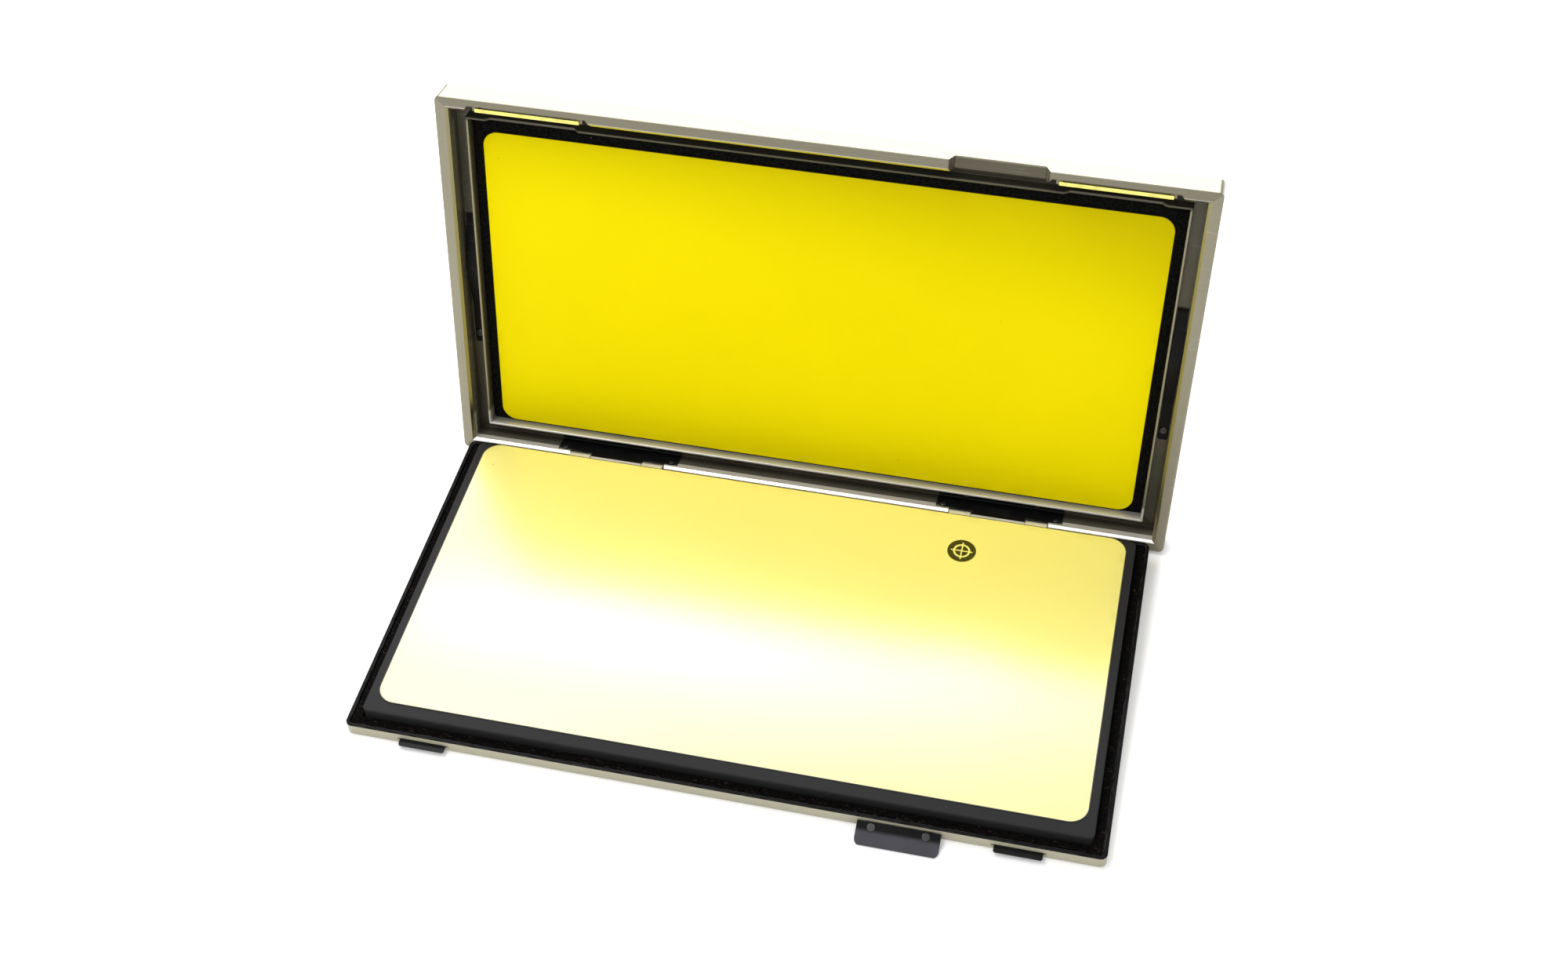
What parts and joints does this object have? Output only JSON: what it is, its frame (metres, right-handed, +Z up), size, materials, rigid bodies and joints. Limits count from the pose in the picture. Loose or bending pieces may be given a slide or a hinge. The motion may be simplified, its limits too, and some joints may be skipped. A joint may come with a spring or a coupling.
{
  "type": "x-ray film cassette",
  "caption": "Hinged x-ray film cassette lying open: aluminium tray frame with a yellow screen leaning up, flat lid with a foam-backed pale screen, black hooks and pull tab.",
  "frame": {"origin": "Middle of the overall box, on the table plane.", "axes": "+X along the hinges to the right, +Y from the lid's latch edge towards the hinges, +Z up."},
  "size_m": [0.333, 0.224, 0.183],
  "materials": {
    "bare_aluminium": "bare, brushed along its length",
    "zinc_keys": "die cast, plain",
    "grey_panel": "thin painted sheet",
    "black_mat": "black backing felt",
    "yellow_screen": "coated phosphor sheet, satin",
    "pale_screen": "coated phosphor sheet, satin",
    "plated_strip": "plated spring strip",
    "black_spring": "blackened spring steel",
    "black_steel": "black satin lacquer",
    "black_screws": "blackened screws",
    "beige_paint": "smooth beige paint",
    "black_trim": "black edge, worn gloss",
    "board_and_foil": "dark board with foil on its back",
    "brown_felt": "dark brown felt",
    "black_foam": "soft cellular foam with a closed skin",
    "steel_rivets": "darkened steel",
    "steel_pins": "plain ground pins"
  },
  "bodies": {
    "lid": {"lid_pan": "beige_paint", "lid_trim_front": "black_trim", "lid_trim_back": "black_trim", "lid_trim_left": "black_trim", "lid_trim_right": "black_trim", "backing_board": "board_and_foil", "felt_front": "brown_felt", "felt_back": "brown_felt", "felt_left": "brown_felt", "felt_right": "brown_felt", "foam_pad": "black_foam", "back_screen": "pale_screen", "lid_hinge_leaf_left": "plated_strip", "lid_hinge_leaf_right": "plated_strip", "hinge_pin_left": "steel_pins", "hinge_pin_right": "steel_pins", "latch_hook_left": "black_steel", "latch_hook_right": "black_steel", "tab_tongue": "black_steel", "pull_tab": "black_steel", "tab_rivets": "steel_rivets"},
    "tray": {"frame_rail_top": "bare_aluminium", "frame_rail_bottom": "bare_aluminium", "frame_rail_left": "bare_aluminium", "frame_rail_right": "bare_aluminium", "corner_keys": "zinc_keys", "front_panel": "grey_panel", "front_mat": "black_mat", "front_screen": "yellow_screen", "ejector_spring_left": "black_spring", "ejector_spring_right": "black_spring", "spring_screws": "black_screws", "frame_hinge_leaf_left": "black_steel", "frame_hinge_leaf_right": "black_steel", "frame_hinge_screws": "black_screws"},
    "strike_left": {"strike_bar_left": "plated_strip"},
    "strike_right": {"strike_bar_right": "plated_strip"}
  },
  "joints": [
    {"name": "hinge", "type": "hinge", "parent": "lid", "child": "tray", "pos_m": [0, 0.0707, 0.00613], "axis": [1, 0, 0], "range_deg": [0, 101.2]},
    {"name": "strike_left_slide", "type": "slide", "parent": "tray", "child": "strike_left", "axis": [0, 0.1604, 0.9871], "range_m": [0, 0.00295], "stiffness_N_per_m": 1500},
    {"name": "strike_right_slide", "type": "slide", "parent": "tray", "child": "strike_right", "axis": [0, 0.1604, 0.9871], "range_m": [0, 0.00295], "stiffness_N_per_m": 1500}
  ]
}
